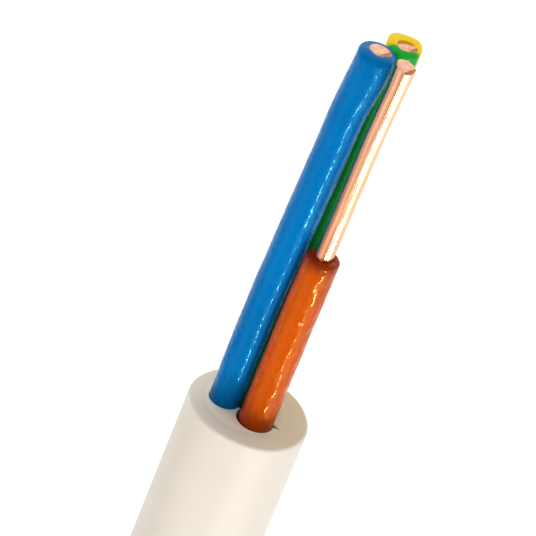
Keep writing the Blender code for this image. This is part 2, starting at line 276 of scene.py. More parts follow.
def make_cut_finish(name, light, dark, rim, roughness, grit, depth):
    """A cut face whose colour changes softly where the sheath meets the filling compound."""
    finish, tree, shader = new_finish(name, roughness)
    place = object_place(tree)
    inner = mottle(tree, grain(tree, place, 8 * grit, 4.0, 0.6), light, dark)
    centred = add_node(tree, "ShaderNodeMapping", Vector=place, Location=-bundle,
                       Scale=(0.0, 1.0, 1.0)).outputs["Vector"]
    distance = add_node(tree, "ShaderNodeVectorMath", {"operation": "LENGTH"}, _0=centred)
    wander = maths(tree, "MULTIPLY", grain(tree, place, 1.6 * MM), 0.5 * MM)
    outwards = maths(tree, "ADD", distance.outputs["Value"], wander)
    rim_share = steps(tree, outwards, FILLER_RADIUS - 0.1 * MM, FILLER_RADIUS + 0.9 * MM)
    plain = blend_colours(tree, rim_share, inner, rim)
    # Painted warm bounce light, stronger towards -Y, multiplied into the face's colour
    bounce_share = steps(tree, parts_of(tree, centred)["Y"], SHEATH_RADIUS, -SHEATH_RADIUS)
    bounce_tint = blend_colours(tree, bounce_share, "#FFFFFF", WARM_BOUNCE_TINT)
    tinted = add_node(tree, "ShaderNodeMix", {"data_type": "RGBA", "blend_type": "MULTIPLY"},
                      Factor=1.0, _6=plain, _7=bounce_tint)
    paint(tree, shader, tinted.outputs[2])
    bump(tree, shader, grain(tree, place, grit, 3.0, 0.6), depth, 0.6)
    return finish


cut_pvc = make_cut_finish("cut_cream_pvc", "#EEEBE1", "#E4DED1", "#DED6C7", 0.6, 0.15 * MM,
                          0.015 * MM)
chalky_filler = make_cut_finish("chalky_filler", "#FBFAF3", "#F4F1E7", "#E9E3D5", 0.8, 0.12 * MM,
                                0.02 * MM)

# %% [markdown]
# ## The cores' finish: glossy insulation PVC
# Core insulation is extruded thin and fast, so it is glossy and slightly lumpy: a highlight along
# it breaks up into dashes. The lumps are a quarter to half a millimetre across, with a finer ripple,
# and the skin is glossy in patches and duller between them.
# The pigment lies right under the skin, so each highlight takes a little of the core's own colour.
# The base is painted darker as painted shade beside the cut face, and the tip turns darker too.

# %% Glossy insulation
RIPPLE = 0.15 * MM
GLOSSY_PATCH = 0.12
DULL_PATCH = 0.45
DARK_END_LENGTH = 2.6 * MM
CORE_SEED = per_core(0.0, 7.0 * MM, 14.0 * MM)
STRIPE_MIDDLE = math.radians(97)
STRIPE_HALF_WIDTH = math.radians(54)
STRIPE_WOBBLE = 0.25
STRIPE_EDGE = 0.45


def gloss_relief(tree, shader, lump, height):
    """Lumps with a finer ripple, and a skin that is glossy in patches and duller between them."""
    lumps = grain(tree, cable_place(tree, 0.6), lump, 0.0)
    patches = grain(tree, cable_place(tree, 0.5), 0.7 * lump, 1.0)
    dullness = steps(tree, patches, 0.45, 0.58, GLOSSY_PATCH, DULL_PATCH)
    tree.links.new(dullness, shader.inputs["Roughness"])
    ripple = grain(tree, cable_place(tree), RIPPLE, 0.0)
    first = bump(tree, shader, lumps, height, 0.6)
    bump(tree, shader, ripple, 0.008 * MM, 0.6, first)


def make_insulation_pvc(core, skin_tones, shaded_base_and_tip_tones, gloss, sheen, lump, height):
    """Glossy core PVC in two tones, with painted shade at the base, a darker tip and a tinted sheen."""
    finish, tree, shader = new_finish(f"{core}_pvc", DULL_PATCH, specular=gloss)
    shader.inputs["Specular Tint"].default_value = linear(sheen)
    skin = mottle(tree, grain(tree, cable_place(tree, 0.3), 3 * MM, 3.0), *skin_tones)
    run = parts_of(tree, laid_place(tree))["Z"]
    seed = CORE_SEED[core]
    tip = seed + tip_of[f"{core}_insulation"] - face.x
    # Painted shade: the first few millimetres out of the sheath's cut face are painted darker
    base_shade_share = steps(tree, run, seed, seed + DARK_END_LENGTH, 1.0, 0.0)
    at_tip = steps(tree, run, tip - 0.5 * DARK_END_LENGTH, tip)
    with_base_shade = blend_colours(tree, base_shade_share, skin, shaded_base_and_tip_tones[0])
    paint(tree, shader, blend_colours(tree, at_tip, with_base_shade, shaded_base_and_tip_tones[1]))
    gloss_relief(tree, shader, lump, height)
    return finish


def make_striped_pvc():
    """Yellow insulation with one broad green stripe that runs its whole length."""
    finish, tree, shader = new_finish("green_yellow_pvc", DULL_PATCH, specular=0.15)
    shader.inputs["Specular Tint"].default_value = linear("#D8FFC0")
    axes = parts_of(tree, laid_place(tree))
    off_middle = maths(tree, "SUBTRACT", maths(tree, "ARCTAN2", axes["Y"], axes["X"]), STRIPE_MIDDLE)
    wobble = grain(tree, cable_place(tree, 0.5), 2.0 * MM)
    edge = maths(tree, "MULTIPLY_ADD", wobble, STRIPE_WOBBLE, maths(tree, "ABSOLUTE", off_middle))
    yellow_share = steps(tree, edge, STRIPE_HALF_WIDTH, STRIPE_HALF_WIDTH + STRIPE_EDGE)
    paint(tree, shader, blend_colours(tree, yellow_share, "#1CA238", "#F0C808"))
    gloss_relief(tree, shader, 0.3 * MM, 0.05 * MM)
    return finish


blue_pvc = make_insulation_pvc("blue", ("#006EB2", "#0064A5"), ("#00508A", "#0064A4"), 0.19,
                               "#38E8FF", 0.34 * MM, 0.04 * MM)
brown_pvc = make_insulation_pvc("brown", ("#C85004", "#B04204"), ("#8A2C08", "#8A2808"), 0.34,
                                "#FFB838", 0.5 * MM, 0.13 * MM)
green_yellow_pvc = make_striped_pvc()

# %% [markdown]
# ## Copper
# The conductor is one drawn wire: bright, with lines from the drawing die along it. Where the
# cutters sheared it, the copper is pinker and duller and has a fine grain, and it is dark where it
# tore off last.

# %% Drawn and sheared copper
TORN_SIDE = (-0.8, 0.6, 0.0)
TORN_FROM = 0.5 * MM


def make_drawn_copper():
    finish, tree, shader = new_finish("drawn_copper", 0.2, 1.0)
    lines = grain(tree, cable_place(tree, 0.012), 0.16 * MM, 3.0)
    broad = grain(tree, cable_place(tree, 0.03), 0.45 * MM)
    paint(tree, shader, mottle(tree, broad, "#FABE98", "#E09A72", 0.35, 0.65))
    first = bump(tree, shader, broad, 0.07 * MM, 0.5)
    bump(tree, shader, lines, 0.05 * MM, 0.8, first)
    tree.links.new(steps(tree, lines, 0.3, 0.7, 0.16, 0.32), shader.inputs["Roughness"])
    return finish


def make_sheared_copper():
    """The face is smooth where the jaws met it, and dark and torn where the wire broke off last."""
    finish, tree, shader = new_finish("sheared_copper", 0.42, 1.0)
    place = object_place(tree)
    tone = grain(tree, place, 0.3 * MM, 3.0)
    wander = add_node(tree, "ShaderNodeVectorMath", {"operation": "DOT_PRODUCT"},
                      _0=laid_place(tree), _1=TORN_SIDE)
    ragged = maths(tree, "MULTIPLY_ADD", tone, 0.3 * MM, wander.outputs["Value"])
    torn = steps(tree, ragged, TORN_FROM, TORN_FROM + 0.12 * MM)
    paint(tree, shader, blend_colours(tree, torn, mottle(tree, tone, "#F0C3A8", "#DDA386"), "#B4744E"))
    bump(tree, shader, grain(tree, place, 0.12 * MM), 0.02 * MM, 0.6)
    return finish


drawn_copper = make_drawn_copper()
sheared_copper = make_sheared_copper()

# %% [markdown]
# ## Moulded nylon for the ties
# Cable ties are moulded in nylon with a fine spark-eroded texture, so they are dark and satin.

# %% Black nylon
def make_tie_nylon():
    finish, tree, shader = new_finish("moulded_nylon", 0.42)
    place = object_place(tree)
    paint(tree, shader, mottle(tree, grain(tree, place, 1.5 * MM, 3.0), "#1B1B1C", "#262627"))
    bump(tree, shader, grain(tree, place, 0.2 * MM), 0.02 * MM, 0.5)
    return finish


tie_nylon = make_tie_nylon()

# %% [markdown]
# ## The wound turns
# A ring is wound in layers. Each turn lies flat until it meets the place where it steps over to the
# next one, and the turns of each layer nest in the grooves of the layer below. Every layer has to
# climb over the one below where the turns step, so the ring bulges a little there.
# The rule is short, so Geometry Nodes follow it: the modifier's own mesh holds one point for each
# turn's place in the section, and the tree walks round the ring through them.

# %% Places of the turns in the section, and where the free end leaves the ring
LAYER_TURNS = (4, 3, 4, 3, 4)
TURN_PITCH = 9.85 * MM
LAYER_PITCH = TURN_PITCH * math.sqrt(3) / 2
POINTS_PER_TURN = 72
CABLE_SIDES = 24
STEP_START = math.radians(257)
STEP_WIDTH = math.radians(48)
STEP_END_GAP = math.radians(0.8)
SPREAD_SHARE = 0.04
CLOSEST_SPREAD = 2.0 / math.sqrt(3) - 1.0
TIE_BEFORE_TAIL = math.radians(225)
TIE_THICKNESS = 1.2 * MM
SEAT_GAP = 0.3 * MM
RING_LIFT = TIE_THICKNESS + SEAT_GAP
UNEVENNESS = 0.18 * MM
WANDERS_PER_TURN = 7.0
TAIL_LENGTH = 0.17
TAIL_STRAIGHT_LENGTH = 0.022
TAIL_CURVE_RADIUS = 0.26
TAIL_TURN = (TAIL_LENGTH - TAIL_STRAIGHT_LENGTH) / TAIL_CURVE_RADIUS

leave_angle = 1.5 * math.pi - TAIL_TURN
tie_corners = [Vector(corner) for number in range(1, 5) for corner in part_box(f"cable_tie_{number}")]
ring_axis = sum(tie_corners, Vector()) / len(tie_corners)
ring_axis.z = 0.0
outer_radius = TAIL_CURVE_RADIUS + (face.x - ring_axis.x - TAIL_STRAIGHT_LENGTH) / math.cos(leave_angle)
inner_radius = outer_radius - LAYER_PITCH * (len(LAYER_TURNS) - 1)
bottom = SHEATH_RADIUS + RING_LIFT
lanes = []
for layer, count in enumerate(LAYER_TURNS):
    lowest = bottom + (max(LAYER_TURNS) - count) * TURN_PITCH / 2
    heights = [lowest + row * TURN_PITCH for row in range(count)]
    if layer % 2 == 0:
        heights.reverse()
    lanes += [(inner_radius + layer * LAYER_PITCH, 0.0, height) for height in heights]
ring_start = STEP_START + STEP_WIDTH + STEP_END_GAP
wound_turn_count = len(lanes) - 1 + ((TIE_BEFORE_TAIL - ring_start) % (2 * math.pi)) / (2 * math.pi)
print("turns in the ring:", round(wound_turn_count, 2), "in", len(LAYER_TURNS), "layers")


# %% Tree that walks round the ring and sweeps the cable
def lane_place(tree, lanes_geometry, index):
    """Where in the section one turn lies, as radius and height."""
    sample = add_node(tree, "GeometryNodeSampleIndex", {"data_type": "FLOAT_VECTOR", "domain": "POINT"},
                      Geometry=lanes_geometry, Index=index)
    tree.links.new(add_node(tree, "GeometryNodeInputPosition").outputs[0], sample.inputs["Value"])
    return sample.outputs["Value"]


def stored(tree, geometry, name, kind, value):
    """The geometry with this value kept on its points under a name."""
    return add_node(tree, "GeometryNodeStoreNamedAttribute", {"data_type": kind, "domain": "POINT"},
                    Geometry=geometry, Name=name, Value=value).outputs[0]


def recalled(tree, name, kind):
    return add_node(tree, "GeometryNodeInputNamedAttribute", {"data_type": kind}, Name=name).outputs[0]


def build_winding_tree():
    tree = bpy.data.node_groups.new("winding", "GeometryNodeTree")
    for name, kind, value in (
            ("Geometry", "Geometry", None), ("Turns", "Float", wound_turn_count),
            ("Points Per Turn", "Int", POINTS_PER_TURN), ("Start Angle", "Float", ring_start),
            ("Step Share", "Float", STEP_WIDTH / (2 * math.pi)),
            ("Cable Radius", "Float", SHEATH_RADIUS), ("Sides", "Int", CABLE_SIDES),
            ("Bore Radius", "Float", inner_radius), ("Axis", "Vector", ring_axis),
            ("Unevenness", "Float", UNEVENNESS), ("Seed", "Float", 3.0), ("Finish", "Material", None)):
        socket = tree.interface.new_socket(name=name, in_out="INPUT", socket_type=f"NodeSocket{kind}")
        if value is not None:
            socket.default_value = value
    tree.interface.new_socket(name="Geometry", in_out="OUTPUT", socket_type="NodeSocketGeometry")
    given = tree.nodes.new("NodeGroupInput").outputs

    def calc(operation, *values):
        return maths(tree, operation, *values)

    # Points in a line, and how many turns each has walked
    count = calc("ADD", calc("CEIL", calc("MULTIPLY", given["Turns"], given["Points Per Turn"])), 1.0)
    points = add_node(tree, "GeometryNodeMeshLine", {"mode": "OFFSET"}, Count=count)
    line = add_node(tree, "GeometryNodeMeshToCurve", Mesh=points.outputs[0])
    index = add_node(tree, "GeometryNodeInputIndex").outputs[0]
    walked = calc("MULTIPLY", calc("DIVIDE", index, calc("SUBTRACT", count, 1.0)), given["Turns"])
    lane = calc("FLOOR", walked)
    in_turn = calc("SUBTRACT", walked, lane)

    # The turn's place in the section, and its step over to the next one's place
    step_begin = calc("SUBTRACT", 1.0, given["Step Share"])
    progress = calc("DIVIDE", calc("SUBTRACT", in_turn, step_begin), given["Step Share"])
    next_lane = calc("MINIMUM", calc("ADD", lane, 1.0), len(lanes) - 1)
    place = add_node(tree, "ShaderNodeMix", {"data_type": "VECTOR"},
                     Factor=steps(tree, progress, 0.0, 1.0),
                     _4=lane_place(tree, given["Geometry"], lane),
                     _5=lane_place(tree, given["Geometry"], next_lane))
    parts = parts_of(tree, place.outputs[1])

    # Crossing turns don't nest, so the layers spread apart where they step
    rise = steps(tree, in_turn, calc("SUBTRACT", step_begin, SPREAD_SHARE),
                 calc("ADD", step_begin, SPREAD_SHARE))
    fall = steps(tree, in_turn, 1.0 - SPREAD_SHARE, 1.0, 1.0, 0.0)
    depth = calc("SUBTRACT", parts["X"], given["Bore Radius"])
    spread = calc("MULTIPLY", calc("MULTIPLY", depth, CLOSEST_SPREAD), calc("MULTIPLY", rise, fall))
    radius = calc("ADD", parts["X"], spread)

    # No turn lies quite true
    noise_place = joined(tree, calc("MULTIPLY", walked, WANDERS_PER_TURN), lane, given["Seed"])
    wander = add_node(tree, "ShaderNodeTexNoise", Vector=noise_place, Scale=1.0, Detail=1.0)
    centred = add_node(tree, "ShaderNodeVectorMath", {"operation": "SUBTRACT"},
                       _0=wander.outputs["Color"], _1=(0.5, 0.5, 0.5))
    sway = parts_of(tree, centred.outputs[0])
    reach = calc("MULTIPLY", given["Unevenness"], 4.0)
    swayed = calc("MULTIPLY_ADD", sway["X"], reach, radius)
    level = calc("MULTIPLY_ADD", sway["Y"], reach, parts["Z"])
    angle = calc("MULTIPLY_ADD", walked, 2 * math.pi, given["Start Angle"])
    spot = joined(tree, calc("MULTIPLY", swayed, calc("COSINE", angle)),
                  calc("MULTIPLY", swayed, calc("SINE", angle)), level)

    # The sweep, with the place on the straightened cable kept for the finish
    path = add_node(tree, "GeometryNodeSetPosition", Geometry=line.outputs[0], Position=spot,
                    Offset=given["Axis"])
    upright = add_node(tree, "GeometryNodeSetCurveNormal", {"mode": "Z_UP"}, Curve=path.outputs[0])
    run = add_node(tree, "GeometryNodeSplineParameter").outputs["Length"]
    kept = stored(tree, upright.outputs[0], "run", "FLOAT", run)
    circle = add_node(tree, "GeometryNodeCurvePrimitiveCircle", Resolution=given["Sides"],
                      Radius=given["Cable Radius"])
    section = stored(tree, circle.outputs["Curve"], "section", "FLOAT_VECTOR",
                     add_node(tree, "GeometryNodeInputPosition").outputs[0])
    swept = add_node(tree, "GeometryNodeCurveToMesh", Curve=kept, Profile_Curve=section, Fill_Caps=True)
    across_cable = parts_of(tree, recalled(tree, "section", "FLOAT_VECTOR"))
    laid = joined(tree, across_cable["X"], across_cable["Y"], recalled(tree, "run", "FLOAT"))
    marked = stored(tree, swept.outputs[0], "laid", "FLOAT_VECTOR", laid)
    smooth = add_node(tree, "GeometryNodeSetShadeSmooth", Geometry=marked)
    real = add_node(tree, "GeometryNodeRealizeInstances", Geometry=smooth.outputs[0])
    dressed = add_node(tree, "GeometryNodeSetMaterial", Geometry=real.outputs[0],
                       Material=given["Finish"])
    out = tree.nodes.new("NodeGroupOutput")
    tree.links.new(dressed.outputs[0], out.inputs[0])
    return tree


def plain_copy(source, name):
    """The evaluated result of an object as a plain mesh object; the source is removed."""
    graph = bpy.context.evaluated_depsgraph_get()
    mesh = bpy.data.meshes.new_from_object(source.evaluated_get(graph))
    mesh.name = name
    bpy.data.objects.remove(source, do_unlink=True)
    return add_piece(name, mesh)


def make_wound_cable():
    places = bpy.data.meshes.new("turn_places")
    places.from_pydata(lanes, [], [])
    source = add_piece("turn_places", places)
    tree = build_winding_tree()
    modifier = source.modifiers.new("winding", "NODES")
    modifier.node_group = tree
    finish_socket = next(item for item in tree.interface.items_tree if item.name == "Finish")
    modifier[finish_socket.identifier] = cream_pvc
    return plain_copy(source, "wound_cable")


wound_cable = make_wound_cable()
print("wound cable:", len(wound_cable.data.polygons), "faces")
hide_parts("wound_turns")
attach(wound_cable, "root")

# %% [markdown]
# ## The free end of the sheath
# The outer end leaves the ring under the tie before it, follows the last turn for a moment, and
# then lies on the floor in one wide curve that ends straight. It is a tube lofted ring by ring, so
# that the cut end can have what a knife leaves: a rim that is slightly rounded and not quite true.

# %% Path of the free end
TAIL_SETTLE_LENGTH = 0.08
lead_length = (leave_angle - TIE_BEFORE_TAIL) * outer_radius
cord_length = lead_length + TAIL_LENGTH


def eased(share):
    share = min(max(share, 0.0), 1.0)
    return share * share * (3.0 - 2.0 * share)


def tail_point(run):
    """Centre of the free end, by its length from the tie."""
    if run < lead_length:
        angle = TIE_BEFORE_TAIL + run / outer_radius
        return ring_axis + outer_radius * Vector((math.cos(angle), math.sin(angle), 0.0)) + bottom * UP
    curve_run = run - lead_length
    height = SHEATH_RADIUS + RING_LIFT * (1.0 - eased(curve_run / TAIL_SETTLE_LENGTH))
    turn_back = TAIL_TURN - min(curve_run / TAIL_CURVE_RADIUS, TAIL_TURN)
    straight = max(curve_run - TAIL_TURN * TAIL_CURVE_RADIUS, 0.0) - TAIL_STRAIGHT_LENGTH
    x = face.x + straight - TAIL_CURVE_RADIUS * math.sin(turn_back)
    y = face.y + TAIL_CURVE_RADIUS * (1.0 - math.cos(turn_back))
    return Vector((x, y, height))


TAIL_STEP = 3 * MM
tail_steps = math.ceil(cord_length / TAIL_STEP)
tail_path = [tail_point(cord_length * step / tail_steps) for step in range(tail_steps + 1)]
print("free end:", round(cord_length / MM), "mm, ends",
      round((tail_path[-1] - face).length / MM, 3), "mm from the cut face")


# %% Loft that every round piece below is made with
def loft(name, rings, laid_rings, finishes, finish_of=None, close_first=False, close_last=False):
    """A skin over rings of points, with each point's place on the straightened cable kept on it."""
    sides = len(rings[0])
    points = [point for ring in rings for point in ring]
    laid = [point for ring in laid_rings for point in ring]
    faces = []
    finish_index = []
    for row in range(len(rings) - 1):
        for side in range(sides):
            next_side = (side + 1) % sides
            near, far = row * sides, (row + 1) * sides
            faces.append((near + side, near + next_side, far + next_side, far + side))
            finish_index.append(finish_of(row) if finish_of else 0)
    if close_first:
        faces.append(tuple(reversed(range(sides))))
        finish_index.append(finish_of(0) if finish_of else 0)
    if close_last:
        start = (len(rings) - 1) * sides
        faces.append(tuple(range(start, start + sides)))
        finish_index.append(finish_of(len(rings) - 2) if finish_of else 0)
    mesh = bpy.data.meshes.new(name)
    mesh.from_pydata(points, [], faces)
    mesh.polygons.foreach_set("material_index", finish_index)
    attribute = mesh.attributes.new("laid", "FLOAT_VECTOR", "POINT")
    attribute.data.foreach_set("vector", [value for point in laid for value in point])
    mesh.shade_smooth()
    mesh.set_sharp_from_angle(angle=math.radians(50))
    return add_piece(name, mesh, finishes)


def ring_angles(sides):
    return [2 * math.pi * side / sides for side in range(sides)]


def across(angle):
    """The direction across the cable at this angle, counted from the left side up."""
    return math.cos(angle) * SIDE + math.sin(angle) * UP


# %% The sheath's free end
TAIL_SIDES = 72
RIM_ROUNDING = 0.16 * MM
RIM_STEPS = 4
CUT_RINGS = 6
BORE_RADIUS = FILLER_RADIUS + 0.004 * MM
BORE_DEPTH = 3.0 * MM


def cut_waviness(angle):
    """How far the knife's cut strays along the cable, round the rim."""
    broad = 0.06 * math.sin(angle + 0.6) + 0.05 * math.sin(2 * angle - 1.1)
    return (broad + 0.03 * math.sin(5 * angle)) * MM


def make_tail():
    rings = []
    laid = []
    for index, centre in enumerate(tail_path[:-1]):
        ahead = (tail_path[index + 1] - tail_path[max(index - 1, 0)]).normalized()
        side = UP.cross(ahead).normalized()
        up = ahead.cross(side)
        run = cord_length * index / tail_steps
        spots = [(SHEATH_RADIUS * math.cos(a), SHEATH_RADIUS * math.sin(a))
                 for a in ring_angles(TAIL_SIDES)]
        rings.append([centre + x * side + y * up for x, y in spots])
        laid.append([Vector((x, y, run)) for x, y in spots])

    def add_ring(centre, radius, back, share):
        ring = []
        for a in ring_angles(TAIL_SIDES):
            ring.append(centre + radius * across(a) + (cut_waviness(a) * share - back) * ALONG)
        rings.append(ring)
        offsets = [point - face for point in ring]
        laid.append([Vector((offset.y, offset.z, cord_length + offset.x)) for offset in offsets])

    for back in (0.8 * MM, 0.4 * MM):
        add_ring(face, SHEATH_RADIUS, back, 1.0 - back / MM)
    for step in range(RIM_STEPS + 1):
        bend = math.pi / 2 * step / RIM_STEPS
        add_ring(face, SHEATH_RADIUS - RIM_ROUNDING * (1 - math.cos(bend)),
                 RIM_ROUNDING * (1 - math.sin(bend)), 1.0)
    rim_rows = len(rings) - 1
    for step in range(1, CUT_RINGS + 1):
        share = step / CUT_RINGS
        centre = face.lerp(bundle, share)
        radius = (SHEATH_RADIUS - RIM_ROUNDING) * (1 - share) + BORE_RADIUS * share
        add_ring(centre, radius, 0.0, 1.0 - share)
    add_ring(bundle, BORE_RADIUS, BORE_DEPTH, 0.0)
    return loft("tail_cable", rings, laid, [cream_pvc, cut_pvc],
                lambda row: 0 if row < rim_rows else 1, True)


tail_cable = make_tail()
print("free end:", len(tail_cable.data.polygons), "faces")

# %% [markdown]
# ## The filling compound
# The compound fills what the three round cores leave inside the sheath. The cores were pulled
# through it, so their beds run together and leave a thin cusp between each two of them. A Boolean
# takes one cylinder for each bed out of a disc, and a wedge for the slit that tore open beside the
# brown core. Cutting is the right way here, because the real face was cut through solid material.

# %% Filling compound with the cores' beds
CORE_ANGLES = per_core(math.radians(8), math.radians(128), math.radians(257))
BED_RADIUS = per_core(1.31 * MM, 1.53 * MM, 1.46 * MM)
BED_SHIFT = per_core(Vector(), Vector((0.0, 0.09, -0.03)) * MM, Vector())
MIDDLE_BED_RADIUS = 0.8 * MM
FILLER_DEPTH = 5.0 * MM
SLIT_ANGLE = math.radians(189)
SLIT_REACH = 2.05 * MM
SLIT_HALF_WIDTH = 0.24 * MM
SLIT_BEND = 0.12
SLIT_DEPTH = 1.2 * MM


def core_base(name):
    return bundle + BUNDLE_RADIUS * across(CORE_ANGLES[name])


def rod_mesh(name, centre, radius, length, sides):
    """A closed rod along the cable that starts at this centre."""
    work = bmesh.new()
    place = Matrix.Translation(centre + length / 2 * ALONG) @ Matrix.Rotation(math.pi / 2, 4, "Y")
    bmesh.ops.create_cone(work, cap_ends=True, segments=sides, radius1=radius, radius2=radius,
                          depth=length, matrix=place)
    return mesh_from(work, name)


def slit_mesh():
    """A three-sided wedge from the brown core's bed outwards."""
    work = bmesh.new()
    centre = core_base("brown")
    mouth = centre + across(SLIT_ANGLE) * CORE_RADIUS
    spread = across(SLIT_ANGLE + math.pi / 2) * SLIT_HALF_WIDTH
    corners = [mouth - spread, mouth + spread, centre + across(SLIT_ANGLE - SLIT_BEND) * SLIT_REACH]
    back = [work.verts.new(corner - SLIT_DEPTH * ALONG) for corner in corners]
    front = [work.verts.new(corner + MM * ALONG) for corner in corners]
    work.faces.new(back)
    work.faces.new(front)
    for first in range(3):
        second = (first + 1) % 3
        work.faces.new((back[first], back[second], front[second], front[first]))
    bmesh.ops.recalc_face_normals(work, faces=work.faces)
    return mesh_from(work, "slit")


def make_filler():
    body = add_piece("filler_body", rod_mesh("filler_body", bundle - FILLER_DEPTH * ALONG, FILLER_RADIUS,
                                             FILLER_DEPTH, 96))
    beds = [(f"{name}_bed", core_base(name) + BED_SHIFT[name], radius, 64)
            for name, radius in BED_RADIUS.items()]
    beds.append(("middle_bed", bundle, MIDDLE_BED_RADIUS, 32))
    cutters = [add_piece("slit", slit_mesh())]
    for name, centre, radius, sides in beds:
        start = centre - 2 * FILLER_DEPTH * ALONG
        cutters.append(add_piece(name, rod_mesh(name, start, radius, 3 * FILLER_DEPTH, sides)))
    for cutter in cutters:
        modifier = body.modifiers.new(cutter.name, "BOOLEAN")
        modifier.operation = "DIFFERENCE"
        modifier.object = cutter
    filler = plain_copy(body, "filling_compound")
    for cutter in cutters:
        bpy.data.objects.remove(cutter, do_unlink=True)
    filler.data.materials.clear()
    filler.data.materials.append(chalky_filler)
    return filler


filling_compound = make_filler()
print("filling compound:", len(filling_compound.data.polygons), "faces")

# %% [markdown]
# ## How a core's insulation ends
# Side cutters squeezed the tips before they cut them, so no end is a clean disc. The insulation
# swells, its rim is rounder on the side that was pressed, and the wire sits off its middle.
# Each core's end is described by a few plain numbers, and one loft uses them for all three.

# %% Insulation ends
CORE_SIDES = 64
CORE_STEP = 0.45 * MM
CORE_START = -5.0 * MM
STRAIGHT_TIP = 2.0 * MM
ROUNDING_STEPS = 6
FACE_STEPS = 4
FACE_DISHING = 0.05 * MM
DRIFT = per_core(-0.65 * MM * SIDE, -0.25 * MM * SIDE, -0.33 * MM * SIDE - 0.4 * MM * UP)
BOW = per_core(0.12 * MM, 0.06 * MM, 0.12 * MM)
KICK = per_core(0.38 * MM, 0.16 * MM, 0.16 * MM)
RIM = per_core(0.30, 0.22, 0.20)
RIM_NEAR = per_core(0.22, 0.06, 0.10)
WIRE_SHIFT = per_core(-0.07 * SIDE - 0.23 * UP, Vector(), -0.16 * SIDE + 0.2 * UP)
SQUARENESS = per_core(0.02, 0.0, 0.05)
SLANT = per_core(0.06, 0.02, 0.0)
SLANT_SIDE = per_core(0.02, -0.03, 0.04)


def core_centre(name, reach, run):
    """Centre of a core at this length from the cut face of the sheath."""
    lean = eased(run / (reach - STRAIGHT_TIP)) * DRIFT[name]
    bow = eased(run / (12 * MM)) * BOW[name] - eased((run - 27.5 * MM) / (6 * MM)) * KICK[name]
    return core_base(name) + run * ALONG + lean + bow * SIDE


def blue_radius(run):
    body = 1.29 + 0.10 * min(max(run / (18 * MM), 0.0), 1.0)
    return (body + 0.12 * eased((run - 27 * MM) / (5 * MM))) * MM


def brown_radius(run):
    return (1.39 - 0.03 * eased((run - 12 * MM) / (4 * MM))) * MM


def green_yellow_radius(run):
    return (1.36 + 0.07 * eased((run - 31 * MM) / (3 * MM))) * MM


CORE_PROFILE = per_core(blue_radius, brown_radius, green_yellow_radius)


def squared(angle, amount):
    """How far an end that was squeezed square stands out at this angle."""
    return 1.0 + amount * math.cos(4 * (angle - math.radians(50)))


def make_insulation(name, finish, length, reach):
    seed = CORE_SEED[name]
    rings = []
    laid = []
    wall_end = length - 0.9 * MM
    count = math.ceil((wall_end - CORE_START) / CORE_STEP)

    def add_ring(run_of, radius_of, shift=Vector()):
        ring = []
        places = []
        for angle in ring_angles(CORE_SIDES):
            run = run_of(angle)
            radius = radius_of(angle)
            ring.append(core_centre(name, reach, run) + radius * across(angle) + shift)
            places.append(Vector((radius * math.cos(angle), radius * math.sin(angle), run + seed)))
        rings.append(ring)
        laid.append(places)

    def outer(run, angle):
        tip_share = eased((run - length + 3 * MM) / (2.5 * MM))
        straight = Vector((math.cos(angle), math.sin(angle), (run + seed) / (2.6 * MM)))
        body = CORE_PROFILE[name](run) * squared(angle, SQUARENESS[name] * tip_share)
        return body + 0.03 * MM * noise.noise(straight)

    def cut_run(angle):
        slant = SLANT[name] * math.sin(angle) + SLANT_SIDE[name] * math.cos(angle)
        return length + (slant + 0.03 * math.sin(3 * angle + seed / MM)) * MM

    def rim(angle):
        return (RIM[name] + RIM_NEAR[name] * math.sin(angle)) * MM

    for step in range(count + 1):
        run = CORE_START + (wall_end - CORE_START) * step / count
        add_ring(lambda angle: run, lambda angle: outer(run, angle))
    for step in range(ROUNDING_STEPS + 1):
        bend = math.pi / 2 * step / ROUNDING_STEPS
        add_ring(lambda angle: cut_run(angle) - rim(angle) * (1 - math.sin(bend)),
                 lambda angle: outer(length, angle) - rim(angle) * (1 - math.cos(bend)))
    shift = WIRE_SHIFT[name] * MM
    bore = CONDUCTOR_RADIUS + 0.02 * MM
    for step in range(1, FACE_STEPS + 1):
        share = step / FACE_STEPS
        add_ring(lambda angle: cut_run(angle) + FACE_DISHING * math.sin(math.pi * share),
                 lambda angle: (outer(length, angle) - rim(angle)) * (1 - share) + bore * share,
                 shift * share)
    for depth in (0.15 * MM, 1.2 * MM):
        add_ring(lambda angle: length - depth, lambda angle: bore, shift)
    return loft(f"{name}_core", rings, laid, [finish])


# %% [markdown]
# ## How a wire ends
# The wire is drawn copper, 1.42 mm thick in the solid model and 0.05 mm more here, to fit the
# photograph's outline. The cutters' jaws meet across it, so the end is a ridge or a slope and not a
# disc, and it is a little wider along the jaws. The end's outline and its height over the cut plane
# are again a few numbers for each wire.

# %% Wires with sheared ends
WIRE_SIDES = 48
END_STEPS = 6
END_SHARE = 0.955
WIDEN = per_core(0.14, 0.06, 0.16)
POINTED = per_core(0.16, 0.05, 0.05)
NEAR_SLOPE = per_core(0.05, 0.36, 0.95)
FAR_SLOPE = per_core(-0.05, 0.0, 0.20)
SIDE_SLOPE = per_core(0.04, 0.16, -0.12)
WIRE_PROUD = per_core(0.10 * MM, 0.0, 0.0)


def wire_end_height(name, side, up):
    """How far the sheared face stands over the cut plane, for a place across the wire."""
    slope = NEAR_SLOPE[name] if up > 0 else FAR_SLOPE[name]
    return -slope * abs(up) + SIDE_SLOPE[name] * side


